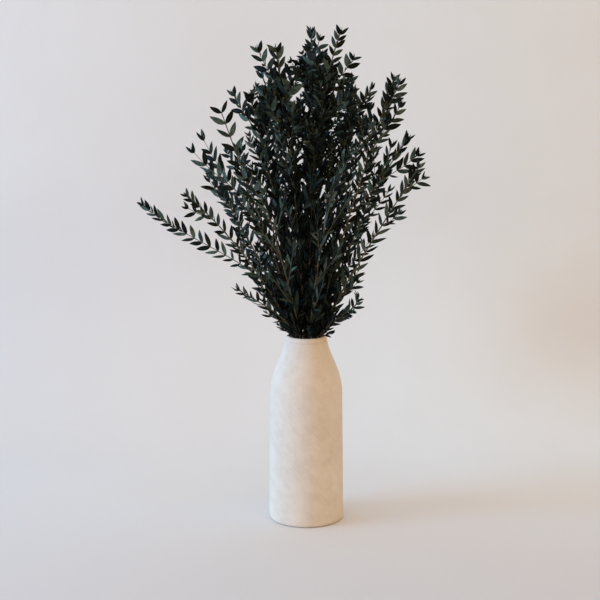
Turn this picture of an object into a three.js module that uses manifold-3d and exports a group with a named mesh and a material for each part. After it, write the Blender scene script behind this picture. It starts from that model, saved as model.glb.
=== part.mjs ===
// A matte ceramic bottle vase with a bunch of preserved parvifolia eucalyptus standing in it.
// Millimetres, Z up, Y into the picture. The origin is the centre of the vase's flat underside.
import * as THREE from "three";
import { mergeVertices } from "three/addons/utils/BufferGeometryUtils.js";
import Module from "manifold-3d";

// Vase: a straight wall that tapers a little, a soft shoulder and a short neck
const VASE_HEIGHT = 250;
const FOOT_RADIUS = 46.5;
const BODY_RADIUS = 50.1;
const SHOULDER_RADIUS = 47.9;
const MOUTH_RADIUS = 26.5;
const FOOT_ROUNDING = 5;
const FOOT_BEVEL_IN = 1.1;
const FOOT_BEVEL_UP = 1.5;
const SHOULDER_Z = 168;
const WALL = 4.8;
const NECK_BORE = 22.8;
const LIP_DROP = 1.7;
const LIP_BEVEL_IN = 0.6;
const LIP_BEVEL_DOWN = 0.4;
const FLOOR_Z = 8;
const FLOOR_COVE = 6;
const SHOULDER_STEPS = 6;
const VASE_SEGMENTS = 32;
// The two handles of the shoulder's curve, as radius and height
const SHOULDER_HANDLE = [47.9, 203];
const NECK_HANDLE = [29.5, 222];

// Stems: they stand on the vase's floor, meet at the waist inside the neck and spread above it
const WAIST_Z = 224;
const FOOT_GAP = 0.3;
const FOOT_SPREAD = 2.3;
const WAIST_PULL = 90;
const STEM_RADIUS = 1.9;
const STEM_TIP_RADIUS = 1.15;
const STEM_SIDES = 5;
const BELOW_STEPS = 2;
const ABOVE_STEPS = 6;
const TUBE_ENDS_AT = 0.86;
const BLADE_STARTS_AT = 0.84;
const BARE_ABOVE_WAIST = 44;

// Forks: a stem's shoots near its top, as shares of their reach
const FORK_PULL = 0.25;
const FORK_BEND_AT = 0.66;
const FORK_SAG = 0.05;
const BARE_FORK = 12;

// Sprigs: thin side shoots of a stem. Each takes the way round its stem that has the most room and light.
const SPRIG_FROM = 0.27;
const SPRIG_TO = 0.9;
const SPRIG_PLACE_VARIES = 0.35;
const SPRIG_SHORTENS = 0.36;
const SPRIG_LENGTH_VARIES = 0.12;
const SPRIG_SPREAD = 31;
const SPRIG_SPREAD_VARIES = 7;
const SPRIG_TURNS = 10;
const SPRIG_TURN_VARIES = 0.5;
const SPRIG_PULL = 0.33;
const SPRIG_LIFT = 0.45;
const SPRIG_LEAF = 0.92;
const SPRIG_LEAF_VARIES = 0.06;
const ROOM_FROM = 0.25;
const ROOM_ENOUGH = 24;
const OUTWARD_LIKING = 0.06;
const BARE_SPRIG = 9;
const SAMPLE_STEP = 6;
const LENGTH_STEPS = 40;

// Leaves: narrow pointed blades in opposite pairs. A sprig and its leaves are one thin arched blade, with the
// leaves cut to the rib; a stem ends in one too. The big low leaves of a stem are pairs that run through it.
const LEAF_WIDTH = 0.31;
const LEAF_THICKNESS = 0.7;
const WIDEST_AT = 0.43;
const OUTER_HALF_GROWS = 1.3;
const BROAD_LEAF = 26;
const PAIR_STEP = 0.54;
const BROAD_PAIR_STEP = 0.72;
const PAIRS_CROWD = 0.12;
const LAST_PAIR_AT = 0.995;
const FIRST_PAIR_LENGTH = 0.72;
const LOW_LEAVES_GROW = 0.3;
const TIP_LEAVES_SHRINK = 0.34;
const LEAF_LENGTH_VARIES = 0.1;
const OPENING = 46;
const OPENING_CLOSES = 20;
const OPENING_VARIES = 6;
const LOW_LEAVES_CLOSE = 22;
const LEAST_OPENING = 26;
const DRAWS_A_TWIG = 7;
const RIB_HALF_WIDTH = 0.7;
const BUD = 1.6;
const LEAF_ROOT = 3;
const LEAF_BOW = 0.05;
const FLANK_ROLL = 12;
const DEPTH_ROLL = 38;
const ROLL_VARIES = 8;
const BLADE_LEAVES_FROM = 3;
const LOW_PAIR_TAIL = 1.1;
const LOW_PAIR_NOTCH = 1.3;
const LEAF_EVERY = 4;
const LOW_LEAF_EVERY = 18;
const LEAF_GAP = 0.5;
const TRY_ROLLS = [0, 25, -25, 50, -50];
const TURN_COST = 0.03;

// Each stem: angle and radius of its seat at the waist, how far it rises before it bends, the point that
// pulls the bend, the tip, how many side sprigs, the longest of them, the leaf's length, and its forks.
const STEMS = {
  front_tall: {
    angle: 250, seat: 7.5, rise: 95, pull: [-19, -29, 509], tip: [-38, -44, 620],
    sprigs: 7, longest: 82, leaf: 25,
    forks: [{ at: 0.78, tip: [-55, -22, 586] }, { at: 0.8, tip: [-20, -66, 590] }],
  },
  right_tall: {
    angle: 300, seat: 7, rise: 110, pull: [-1, -17, 520], tip: [42, -26, 642],
    sprigs: 7, longest: 74, leaf: 21,
    forks: [{ at: 0.78, tip: [58, -8, 609] }, { at: 0.7, tip: [55, -52, 570] }],
  },
  crown: {
    angle: 90, seat: 3, rise: 120, pull: [6, 14, 521], tip: [6, 22, 644],
    sprigs: 7, longest: 72, leaf: 21,
    forks: [{ at: 0.8, tip: [-8, 4, 602] }, { at: 0.8, tip: [19, 40, 614] }],
  },
  right_fork: {
    angle: 350, seat: 9.5, rise: 50, pull: [78, -11, 480], tip: [110, -18, 584],
    sprigs: 6, longest: 74, leaf: 21,
    forks: [{ at: 0.7, tip: [80, -34, 547] }, { at: 0.74, tip: [119, -2, 549] }],
  },
  right_upper: {
    angle: 20, seat: 8, rise: 90, pull: [47, 20, 476], tip: [61, 32, 568],
    sprigs: 6, longest: 78, leaf: 21,
    forks: [],
  },
  right_mid: {
    angle: 10, seat: 14, rise: 42, pull: [72, 25, 424], tip: [133, 40, 506],
    sprigs: 6, longest: 76, leaf: 22,
    forks: [{ at: 0.6, tip: [110, 8, 497] }, { at: 0.66, tip: [105, 70, 460] }],
  },
  right_low: {
    angle: 340, seat: 13, rise: 42, pull: [102, -27, 406], tip: [141, -42, 475],
    sprigs: 4, longest: 40, leaf: 21,
    forks: [],
  },
  right_skirt: {
    angle: 320, seat: 12.5, rise: 48, pull: [71, -30, 285], tip: [66, -45, 309],
    sprigs: 1, longest: 28, leaf: 18,
    forks: [],
  },
  left_upper: {
    angle: 165, seat: 8, rise: 90, pull: [-51, 8, 470], tip: [-73, 12, 562],
    sprigs: 7, longest: 80, leaf: 21,
    forks: [{ at: 0.62, tip: [-59, 40, 534] }],
  },
  left_broad: {
    angle: 210, seat: 9.5, rise: 55, pull: [-76, -32, 452], tip: [-107, -50, 545],
    sprigs: 3, longest: 70, leaf: 28,
    forks: [{ at: 0.6, tip: [-142, -44, 494] }, { at: 0.48, tip: [-132, -14, 508] }],
  },
  left_curl: {
    angle: 176, seat: 13.5, rise: 42, pull: [-86, 29, 394], tip: [-128, 46, 460],
    sprigs: 5, longest: 68, leaf: 22,
    forks: [],
  },
  left_low: {
    angle: 196, seat: 13, rise: 42, pull: [-83, -28, 379], tip: [-151, -44, 439],
    sprigs: 4, longest: 50, leaf: 20,
    forks: [{ at: 0.46, tip: [-208, -36, 427] }],
  },
  left_skirt: {
    angle: 228, seat: 12.5, rise: 45, pull: [-48, -43, 294], tip: [-85, -66, 321],
    sprigs: 2, longest: 36, leaf: 20,
    forks: [],
  },
  front_right: {
    angle: 285, seat: 13, rise: 48, pull: [17, -76, 412], tip: [44, -118, 490],
    sprigs: 6, longest: 80, leaf: 23,
    forks: [],
  },
  front_left: {
    angle: 247, seat: 14, rise: 44, pull: [-44, -72, 405], tip: [-62, -112, 472],
    sprigs: 5, longest: 78, leaf: 24,
    forks: [],
  },
  back_crown: {
    angle: 60, seat: 8, rise: 110, pull: [21, 51, 495], tip: [32, 80, 599],
    sprigs: 8, longest: 88, leaf: 22,
    forks: [],
  },
  back_left: {
    angle: 125, seat: 10, rise: 66, pull: [-51, 67, 466], tip: [-41, 106, 562],
    sprigs: 8, longest: 85, leaf: 22,
    forks: [],
  },
  back_right: {
    angle: 42, seat: 13, rise: 58, pull: [55, 67, 444], tip: [82, 106, 526],
    sprigs: 6, longest: 85, leaf: 22,
    forks: [],
  },
  back_low: {
    angle: 95, seat: 13.5, rise: 50, pull: [-8, 88, 391], tip: [-14, 138, 458],
    sprigs: 6, longest: 80, leaf: 22,
    forks: [],
  },
  back_side: {
    angle: 150, seat: 13, rise: 42, pull: [-83, 63, 411], tip: [-93, 100, 488],
    sprigs: 5, longest: 80, leaf: 22,
    forks: [],
  },
};

const CERAMIC = "#d9cdc2";
const GREENERY = "#1d2623";
const MERGE_WITHIN = 1e-4;
const GOLDEN = 0.6180339887;
const SILVER = 0.4142135624;
const UP = new THREE.Vector3(0, 0, 1);
const SIGHT = new THREE.Vector3(0.15, 1, 0);

const wasm = await Module();
wasm.setup();

// The n-th draw of the k-th kind, between -1 and 1, the same each time.
function vary(n, k) {
  return ((n * GOLDEN + k * SILVER) % 1) * 2 - 1;
}

function radians(degrees) {
  return (degrees * Math.PI) / 180;
}

function point(values) {
  return new THREE.Vector3(...values);
}

// from + way * distance
function along(from, way, distance) {
  return from.clone().addScaledVector(way, distance);
}

// A solid from a three.js geometry, with its seams joined and its empty faces dropped.
function solidOf(geometry) {
  const bare = new THREE.BufferGeometry();
  bare.setAttribute("position", geometry.attributes.position);
  bare.setIndex(geometry.index);
  const merged = mergeVertices(bare, MERGE_WITHIN);
  const corners = merged.index.array;
  const kept = [];
  for (let i = 0; i < corners.length; i += 3) {
    const [a, b, c] = corners.slice(i, i + 3);
    if (a !== b && b !== c && c !== a) kept.push(a, b, c);
  }
  return new wasm.Manifold(
    new wasm.Mesh({
      numProp: 3,
      vertProperties: new Float32Array(merged.attributes.position.array),
      triVerts: new Uint32Array(kept),
    }),
  );
}

function meshOf(solid, name, colour) {
  const made = solid.getMesh();
  const geometry = new THREE.BufferGeometry();
  geometry.setAttribute("position", new THREE.BufferAttribute(made.vertProperties, made.numProp));
  geometry.setIndex(new THREE.BufferAttribute(made.triVerts, 1));
  geometry.computeVertexNormals();
  const mesh = new THREE.Mesh(geometry, new THREE.MeshStandardMaterial({ color: colour }));
  mesh.name = name;
  return mesh;
}

// The vase's outer shoulder, from the straight wall up to the mouth.
function shoulder() {
  return new THREE.CubicBezierCurve(
    new THREE.Vector2(SHOULDER_RADIUS, SHOULDER_Z),
    new THREE.Vector2(...SHOULDER_HANDLE),
    new THREE.Vector2(...NECK_HANDLE),
    new THREE.Vector2(MOUTH_RADIUS, VASE_HEIGHT),
  );
}

function vase() {
  const curve = shoulder();
  const outside = [
    [0, 0],
    [FOOT_RADIUS, 0],
    [BODY_RADIUS - FOOT_BEVEL_IN, FOOT_BEVEL_UP],
    [BODY_RADIUS, FOOT_ROUNDING],
  ].map(([r, z]) => new THREE.Vector2(r, z));
  for (let k = 0; k < SHOULDER_STEPS; k++) {
    outside.push(curve.getPoint(k / SHOULDER_STEPS));
  }
  const lip = [
    [MOUTH_RADIUS, VASE_HEIGHT - LIP_DROP],
    [MOUTH_RADIUS - LIP_BEVEL_IN, VASE_HEIGHT - LIP_BEVEL_DOWN],
    [(MOUTH_RADIUS + NECK_BORE) / 2, VASE_HEIGHT],
    [NECK_BORE + LIP_BEVEL_IN, VASE_HEIGHT - LIP_BEVEL_DOWN],
    [NECK_BORE, VASE_HEIGHT - LIP_DROP],
  ].map(([r, z]) => new THREE.Vector2(r, z));
  const inside = [];
  for (let k = SHOULDER_STEPS - 1; k >= 0; k--) {
    const at = curve.getPoint(k / SHOULDER_STEPS);
    const way = curve.getTangent(k / SHOULDER_STEPS);
    // The wall's thickness is laid off square to the outside.
    const inner = new THREE.Vector2(at.x - way.y * WALL, at.y + way.x * WALL);
    inside.push(new THREE.Vector2(Math.max(inner.x, NECK_BORE), inner.y));
  }
  inside.push(new THREE.Vector2(BODY_RADIUS - WALL, FLOOR_Z + FLOOR_COVE));
  inside.push(new THREE.Vector2(BODY_RADIUS - WALL - FLOOR_COVE, FLOOR_Z));
  inside.push(new THREE.Vector2(0, FLOOR_Z));
  const turned = new THREE.LatheGeometry([...outside, ...lip, ...inside], VASE_SEGMENTS);
  turned.rotateX(Math.PI / 2);
  return solidOf(turned);
}

// Two directions square to a way: one that faces the front as far as it can, and one across it.
function frame(way) {
  const side = new THREE.Vector3().crossVectors(way, SIGHT).normalize();
  return { side, face: new THREE.Vector3().crossVectors(side, way) };
}

// A stem, fork or sprig: a curve with leaves on it, which belongs to one stem.
class Twig {
  constructor(corners, leaf, bare, stem) {
    this.curve = new THREE.CubicBezierCurve3(...corners);
    this.leaf = leaf;
    this.bare = bare;
    this.stem = stem;
    this.length = 0;
    for (let k = 0; k < LENGTH_STEPS; k++) {
      this.length += this.at(k / LENGTH_STEPS).distanceTo(this.at((k + 1) / LENGTH_STEPS));
    }
  }

  at(t) {
    return this.curve.getPoint(t);
  }

  // The centre line of a stem's faceted tube, which everything that grows from it is sunk into.
  onTube(t) {
    const run = (t / TUBE_ENDS_AT) * ABOVE_STEPS;
    const k = Math.floor(run);
    if (k >= ABOVE_STEPS) return this.at(t);
    const ring = (n) => this.at((n / ABOVE_STEPS) * TUBE_ENDS_AT);
    return ring(k).lerp(ring(k + 1), run - k);
  }

  way(t) {
    return this.curve.getTangent(t);
  }

  samples(skip) {
    const count = Math.max(3, Math.round(this.length / SAMPLE_STEP));
    const points = [];
    for (let k = 0; k <= count; k++) points.push(this.at(skip + ((1 - skip) * k) / count));
    return points;
  }
}

function mainStems() {
  return Object.values(STEMS).map(({ angle, seat, rise, pull, tip, leaf }, i) => {
    const out = new THREE.Vector3(Math.cos(radians(angle)), Math.sin(radians(angle)), 0);
    const waist = along(new THREE.Vector3(0, 0, WAIST_Z), out, seat);
    const corners = [waist, along(waist, UP, rise), point(pull), point(tip)];
    const stem = new Twig(corners, leaf, BARE_ABOVE_WAIST, i);
    const foot = along(new THREE.Vector3(0, 0, FLOOR_Z + FOOT_GAP), out, seat * FOOT_SPREAD);
    stem.below = new THREE.QuadraticBezierCurve3(foot, along(waist, UP, -WAIST_PULL), waist);
    return stem;
  });
}

function forksOf(stem) {
  const { leaf, forks } = Object.values(STEMS)[stem.stem];
  return forks.map((fork) => {
    const root = stem.at(fork.at);
    const tip = point(fork.tip);
    const reach = root.distanceTo(tip);
    const bend = along(root.clone().lerp(tip, FORK_BEND_AT), UP, -FORK_SAG * reach);
    const corners = [root, along(root, stem.way(fork.at), reach * FORK_PULL), bend, tip];
    return new Twig(corners, leaf, BARE_FORK, stem.stem);
  });
}

function nearest(points, others) {
  let least = Infinity;
  for (const p of points) {
    for (const q of others) least = Math.min(least, p.distanceToSquared(q));
  }
  return Math.sqrt(least);
}

// The n-th side sprig: of the ways it could turn round its stem, the one with the most room and light.
function sprig(n, stem, row, twigs) {
  const { sprigs, longest, leaf } = Object.values(STEMS)[stem.stem];
  const place = (row + 0.5 + SPRIG_PLACE_VARIES * vary(n, 1)) / sprigs;
  const share = SPRIG_FROM + (SPRIG_TO - SPRIG_FROM) * place;
  const root = stem.at(share);
  const way = stem.way(share);
  const { side, face } = frame(way);
  const length = longest * (1 - SPRIG_SHORTENS * share) * (1 + SPRIG_LENGTH_VARIES * vary(n, 2));
  const angle = radians(SPRIG_SPREAD + SPRIG_SPREAD_VARIES * vary(n, 3));
  const others = twigs.filter((t) => t !== stem).flatMap((t) => t.samples(0));
  let best = null;
  for (let turn = 0; turn < SPRIG_TURNS; turn++) {
    const phi = (2 * Math.PI * (turn + SPRIG_TURN_VARIES * vary(n, 4))) / SPRIG_TURNS;
    const off = side.clone().multiplyScalar(Math.cos(phi)).addScaledVector(face, Math.sin(phi));
    const go = way.clone().multiplyScalar(Math.cos(angle)).addScaledVector(off, Math.sin(angle));
    const half = along(root, go, length / 2);
    const rise = along(go, UP, SPRIG_LIFT).normalize();
    const tip = along(half, rise, length / 2);
    const corners = [root, along(root, go, length * SPRIG_PULL), half.clone().lerp(tip, SPRIG_PULL), tip];
    const ownLeaf = leaf * (SPRIG_LEAF + SPRIG_LEAF_VARIES * vary(n, 5));
    const made = new Twig(corners, ownLeaf, BARE_SPRIG, stem.stem);
    const room = Math.min(nearest(made.samples(ROOM_FROM), others), ROOM_ENOUGH);
    const outward = Math.hypot(tip.x, tip.y) - Math.hypot(root.x, root.y);
    const score = room + OUTWARD_LIKING * outward;
    if (!best || score > best.score) best = { score, made };
  }
  return best.made;
}

function grow() {
  const stems = mainStems();
  const twigs = [...stems, ...stems.flatMap(forksOf)];
  const counts = Object.values(STEMS).map((each) => each.sprigs);
  let n = 0;
  for (let row = 0; row < Math.max(...counts); row++) {
    for (const stem of stems) {
      if (row < counts[stem.stem]) twigs.push(sprig(++n, stem, row, twigs));
    }
  }
  return twigs;
}

// A tapered tube along a path: a cylinder whose rings are laid out on the path's points.
function tube(at, way, base, end, sides, steps) {
  const cylinder = new THREE.CylinderGeometry(end, base, 1, sides, steps);
  const position = cylinder.attributes.position;
  for (let i = 0; i < position.count; i++) {
    const share = position.getY(i) + 0.5;
    const { side, face } = frame(way(share));
    const moved = along(along(at(share), side, position.getX(i)), face, position.getZ(i));
    position.setXYZ(i, moved.x, moved.y, moved.z);
  }
  return solidOf(cylinder);
}

function stemTube(stem) {
  const steps = BELOW_STEPS + ABOVE_STEPS;
  const low = BELOW_STEPS / steps;
  const pick = (share, below, above) =>
    share < low ? below(share / low) : above(Math.max(0, (share - low) / (1 - low)) * TUBE_ENDS_AT);
  return tube(
    (share) => pick(share, (t) => stem.below.getPoint(t), (t) => stem.at(t)),
    (share) => pick(share, (t) => stem.below.getTangent(t), (t) => stem.way(t)),
    STEM_RADIUS,
    STEM_TIP_RADIUS,
    STEM_SIDES,
    steps,
  );
}

// Every leaf pair of a twig, from its root to its tip: how far along, how long, how far open.
function pairsOf(twig, number) {
  const step = twig.leaf * (twig.leaf > BROAD_LEAF ? BROAD_PAIR_STEP : PAIR_STEP);
  const leafy = twig.length - twig.bare;
  const count = Math.max(2, Math.round(leafy / step));
  const isStem = Boolean(twig.below);
  const pairs = [];
  for (let k = 0; k <= count; k++) {
    const u = k / count;
    const run = twig.bare + leafy * (u + PAIRS_CROWD * u * (1 - u));
    const draw = number * DRAWS_A_TWIG + k;
    const lowness = isStem ? Math.max(0, 1 - 2 * u) : 0;
    const shape = (1 + LOW_LEAVES_GROW * lowness) * (1 - TIP_LEAVES_SHRINK * u ** 4);
    const own = (1 + LEAF_LENGTH_VARIES * vary(draw, 3)) * (k === 0 ? FIRST_PAIR_LENGTH : 1);
    const opening = OPENING - OPENING_CLOSES * u * u + OPENING_VARIES * vary(draw, 4);
    pairs.push({
      run: Math.min(run, twig.length * LAST_PAIR_AT),
      length: twig.leaf * shape * own,
      opening: opening - LOW_LEAVES_CLOSE * lowness,
      fromTip: count - k,
    });
  }
  return pairs;
}

// The roll of a twig's leaves out of the plane that faces the front: more on the twigs that reach in depth.
function rollOf(twig, number) {
  const tip = twig.at(1);
  const depth = Math.abs(tip.y) / (Math.abs(tip.x) + Math.abs(tip.y) + 1);
  const sign = vary(number, 6) > 0 ? 1 : -1;
  return sign * (FLANK_ROLL + DEPTH_ROLL * depth) + ROLL_VARIES * vary(number, 7);
}

// A leaf as a cell of [across, along] corners from its pair's own point, on the right of the rib. A whole leaf
// has four free corners. Below a blade's last pair the inner edge runs straight back to the rib.
function leafCell(pair, isWhole, grown) {
  const opening = radians(Math.max(pair.opening, LEAST_OPENING));
  const length = pair.length + grown;
  const half = (pair.length * LEAF_WIDTH) / 2 + grown;
  const onLeaf = (run, width) => [
    Math.sin(opening) * run + Math.cos(opening) * width,
    Math.cos(opening) * run - Math.sin(opening) * width,
  ];
  return [
    [RIB_HALF_WIDTH, 0],
    onLeaf(length * WIDEST_AT, isWhole ? half : half * OUTER_HALF_GROWS),
    onLeaf(length, 0),
    isWhole ? onLeaf(length * WIDEST_AT, -half) : [RIB_HALF_WIDTH, LEAF_ROOT],
  ];
}

// A cell moved along the twig, and turned over to its left where the hand is -1.
function placed(cell, run, hand) {
  const moved = cell.map(([x, y]) => [x * hand, y + run]);
  return hand > 0 ? moved : moved.reverse();
}

// Flat cells made thick and laid along the twig's own bend. A wall closes each edge that only one cell has.
function blade(twig, cells, roll, thickness) {
  const lay = ([out, run], height) => {
    const t = Math.min(Math.max(run / twig.length, 0), 1);
    const way = twig.way(t);
    const { side, face } = frame(way);
    const across = side.multiplyScalar(Math.cos(roll)).addScaledVector(face, Math.sin(roll));
    const up = new THREE.Vector3().crossVectors(across, way);
    const bow = LEAF_BOW * Math.max(0, Math.abs(out) - RIB_HALF_WIDTH);
    const onRib = along(twig.onTube(t), way, run - t * twig.length);
    return along(along(onRib, across, out), up, height - bow);
  };
  const top = (corner) => lay(corner, thickness / 2);
  const low = (corner) => lay(corner, -thickness / 2);
  const edgesOf = (cell) => cell.map((corner, i) => [corner, cell[(i + 1) % cell.length]]);
  const edges = new Set(cells.flatMap(edgesOf).map(String));
  const corners = [];
  for (const cell of cells) {
    for (let i = 1; i < cell.length - 1; i++) {
      corners.push(top(cell[0]), top(cell[i]), top(cell[i + 1]));
      corners.push(low(cell[0]), low(cell[i + 1]), low(cell[i]));
    }
    for (const [a, b] of edgesOf(cell)) {
      if (!edges.has(String([b, a]))) corners.push(low(a), low(b), top(b), low(a), top(b), top(a));
    }
  }
  return new THREE.BufferGeometry().setFromPoints(corners);
}

// One leaf by itself, a little too big all round: what has to be clear of everything near.
function leafRoom(twig, pair, hand, roll) {
  const cell = placed(leafCell(pair, true, LEAF_GAP), pair.run, hand);
  return piece(blade(twig, [cell], roll, LEAF_THICKNESS + 2 * LEAF_GAP), twig);
}

// The leaves of the pairs that are clear, at the roll that keeps the most of them.
function clearLeaves(twig, pairs, number, pieces) {
  let best = null;
  for (const turn of TRY_ROLLS) {
    const roll = radians(rollOf(twig, number) + turn);
    const hasRoom = ({ pair, hand }) => isClear(leafRoom(twig, pair, hand, roll), pieces);
    const leaves = pairs.flatMap((pair) => [1, -1].map((hand) => ({ pair, hand }))).filter(hasRoom);
    const score = leaves.length - Math.abs(turn) * TURN_COST;
    if (!best || score > best.score) best = { leaves, roll, score };
  }
  return best;
}

// A rib from a run to the tip with its leaves cut to it. The last leaves share an edge with the bud.
function frond(twig, from, pairs, leaves, roll) {
  const cells = [];
  const bud = [0, twig.length + BUD];
  let reached = from;
  const ribTo = (run) => {
    const [near, far] = [reached, run];
    cells.push([
      [RIB_HALF_WIDTH, near],
      [RIB_HALF_WIDTH, far],
      [-RIB_HALF_WIDTH, far],
      [-RIB_HALF_WIDTH, near],
    ]);
    reached = run;
  };
  for (const pair of pairs) {
    const isLast = pair.fromTip === 0;
    const hands = leaves.filter((leaf) => leaf.pair === pair).map((leaf) => leaf.hand);
    ribTo(pair.run);
    for (const hand of hands) {
      const leaf = placed(leafCell(pair, isLast, 0), pair.run, hand);
      cells.push(leaf);
      if (isLast) cells.push([leaf[0], leaf[3], bud]);
    }
    if (!isLast && hands.length > 0) ribTo(pair.run + LEAF_ROOT);
  }
  cells.push([[RIB_HALF_WIDTH, reached], bud, [-RIB_HALF_WIDTH, reached]]);
  return blade(twig, cells, roll, LEAF_THICKNESS);
}

// A pair of a stem's big low leaves: one blade that runs through the stem.
function lowPair(stem, pair, roll) {
  const tail = [0, -LOW_PAIR_TAIL];
  const notch = [0, LOW_PAIR_NOTCH];
  const [, outer, end, inner] = leafCell(pair, true, 0);
  const half = [tail, outer, end, inner, notch];
  const cells = [placed(half, pair.run, 1), placed(half, pair.run, -1)];
  return blade(stem, cells, roll, LEAF_THICKNESS);
}

function piece(geometry, twig) {
  geometry.computeBoundingBox();
  return { solid: solidOf(geometry), box: geometry.boundingBox, twig };
}

function boxOfSolid(solid) {
  const { min, max } = solid.boundingBox();
  return new THREE.Box3(point(min), point(max));
}

function isClear(candidate, pieces) {
  return pieces.every(
    (other) =>
      other.twig === candidate.twig ||
      !other.box.intersectsBox(candidate.box) ||
      candidate.solid.intersect(other.solid).isEmpty(),
  );
}

const twigs = grow();
const vaseSolid = vase();
const pieces = [{ solid: vaseSolid, box: boxOfSolid(vaseSolid), twig: null }];
twigs.forEach((twig, number) => {
  const solid = twig.below ? stemTube(twig) : solidOf(frond(twig, 0, pairsOf(twig, number), [], 0));
  pieces.push({ solid, box: boxOfSolid(solid), twig });
});

// Leaves come twig by twig, where they are clear of everything that stands near.
twigs.forEach((twig, number) => {
  const isStem = Boolean(twig.below);
  const from = isStem ? twig.length * BLADE_STARTS_AT : 0;
  const ofFrond = pairsOf(twig, number).filter(
    (pair) => pair.run > from + BLADE_LEAVES_FROM && pair.fromTip % LEAF_EVERY === 0,
  );
  const { leaves, roll } = clearLeaves(twig, ofFrond, number, pieces);
  const made = piece(frond(twig, from, ofFrond, leaves, roll), twig);
  if (isStem) pieces.push(made);
  else pieces[number + 1] = made;
});
twigs.forEach((twig, number) => {
  if (!twig.below) return;
  const end = twig.length * BLADE_STARTS_AT;
  const low = pairsOf(twig, number).filter((pair, k) => pair.run < end && k % LOW_LEAF_EVERY === 1);
  for (const pair of low) {
    const { leaves, roll } = clearLeaves(twig, [pair], number, pieces);
    if (leaves.length === 2) pieces.push(piece(lowPair(twig, pair, roll), twig));
  }
});

const plant = new THREE.Group();
plant.name = "vase_of_preserved_parvifolia_eucalyptus";
plant.add(meshOf(vaseSolid, "vase", CERAMIC));
Object.keys(STEMS).forEach((name, i) => {
  const own = pieces.filter((each) => each.twig && each.twig.stem === i).map((each) => each.solid);
  const fused = own.reduce((whole, next) => whole.add(next));
  plant.add(meshOf(fused, "stem_" + name, GREENERY));
});

export default plant;
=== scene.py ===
"""A matte ceramic bottle vase with a bunch of preserved parvifolia eucalyptus, dressed round its solids.

Sizes are worked out in millimetres, as in the part's source, and laid down in metres. Z is up and the
photograph's camera looks along +Y.
"""

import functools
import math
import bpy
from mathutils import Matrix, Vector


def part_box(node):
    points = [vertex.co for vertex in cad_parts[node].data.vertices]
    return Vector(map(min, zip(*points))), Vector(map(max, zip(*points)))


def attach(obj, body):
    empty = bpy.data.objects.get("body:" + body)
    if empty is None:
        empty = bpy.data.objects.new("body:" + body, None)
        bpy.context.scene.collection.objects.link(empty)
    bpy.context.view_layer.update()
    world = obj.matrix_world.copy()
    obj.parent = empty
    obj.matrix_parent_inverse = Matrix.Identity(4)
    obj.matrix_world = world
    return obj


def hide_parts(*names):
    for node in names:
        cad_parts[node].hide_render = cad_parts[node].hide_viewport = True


bl_info = {
    "name": "Eucalyptus Vase",
    "version": (1, 0, 0),
    "blender": (4, 5, 0),
    "location": "3D View > Sidebar > Eucalyptus Vase",
    "description": "A ceramic bottle vase with a bunch of preserved parvifolia eucalyptus",
    "category": "Add Mesh",
}

from collections import namedtuple

import bpy
import numpy as np
from mathutils import Vector

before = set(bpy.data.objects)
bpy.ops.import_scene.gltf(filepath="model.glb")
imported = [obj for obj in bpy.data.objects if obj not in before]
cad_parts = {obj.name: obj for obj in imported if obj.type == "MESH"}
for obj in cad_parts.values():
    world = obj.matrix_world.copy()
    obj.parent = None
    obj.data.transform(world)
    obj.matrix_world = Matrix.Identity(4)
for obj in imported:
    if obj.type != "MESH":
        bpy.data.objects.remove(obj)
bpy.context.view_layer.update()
VASE_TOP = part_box("vase")[1].z
# Millimetres in metres, and metres in millimetres
MM = 0.001
M = 1000.0

# The plant's rule, the same as in the part's source, in millimetres

WAIST_Z = 224
FLOOR_Z = 8
FOOT_GAP = 0.3
FOOT_SPREAD = 2.3
WAIST_PULL = 90
BARE_ABOVE_WAIST = 44

FORK_PULL = 0.25
FORK_BEND_AT = 0.66
FORK_SAG = 0.05
BARE_FORK = 12

SPRIG_FROM = 0.27
SPRIG_TO = 0.9
SPRIG_SHORTENS = 0.36
SPRIG_SPREAD = 31
SPRIG_TURNS = 10
SPRIG_PULL = 0.33
SPRIG_LIFT = 0.45
SPRIG_LEAF = 0.92
ROOM_FROM = 0.25
ROOM_ENOUGH = 24
OUTWARD_LIKING = 0.06
BARE_SPRIG = 9
SAMPLE_STEP = 6
LENGTH_STEPS = 40

BROAD_LEAF = 26
PAIR_STEP = 0.54
BROAD_PAIR_STEP = 0.72
PAIRS_CROWD = 0.12
LAST_PAIR_AT = 0.995
FIRST_PAIR_LENGTH = 0.72
LOW_LEAVES_GROW = 0.3
TIP_LEAVES_SHRINK = 0.34
OPENING = 46
OPENING_CLOSES = 20
LOW_LEAVES_CLOSE = 22
DRAWS_A_TWIG = 7
FLANK_ROLL = 12
DEPTH_ROLL = 38

GOLDEN = 0.6180339887
SILVER = 0.4142135624
UP = np.array([0.0, 0.0, 1.0])
SIGHT = np.array([0.15, 1.0, 0.0])

# Every draw by name: its kind, and how far it reaches either way
DRAWS = {
    "sprig_place": (1, 0.35),
    "sprig_length": (2, 0.12),
    "leaf_length": (3, 0.1),
    "sprig_spread": (3, 7),
    "opening": (4, 6),
    "sprig_turn": (4, 0.5),
    "sprig_leaf": (5, 0.06),
    "roll_side": (6, 1),
    "roll": (7, 8),
    "pair_roll": (8, 6),
    "leaf_opening": (9, 4),
    "leaf_lift": (10, 9),
    "leaf_twist": (11, 17),
    "leaf_size": (12, 0.05),
    "fold": (13, 0.5),
    "arch": (14, 1.1),
    "sway": (15, 0.07),
    "width": (16, 0.1),
    "tone": (17, 1),
    "cross_roll": (18, 22),
    "shoot_spread": (21, 8),
    "shoot_length": (22, 9),
    "shoot_turn": (23, 0.9),
    "rim_turn": (24, 1.1),
    "rim_spread": (25, 8),
    "rim_leaf": (26, 2),
    "broad_opening": (27, 6),
}

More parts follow.
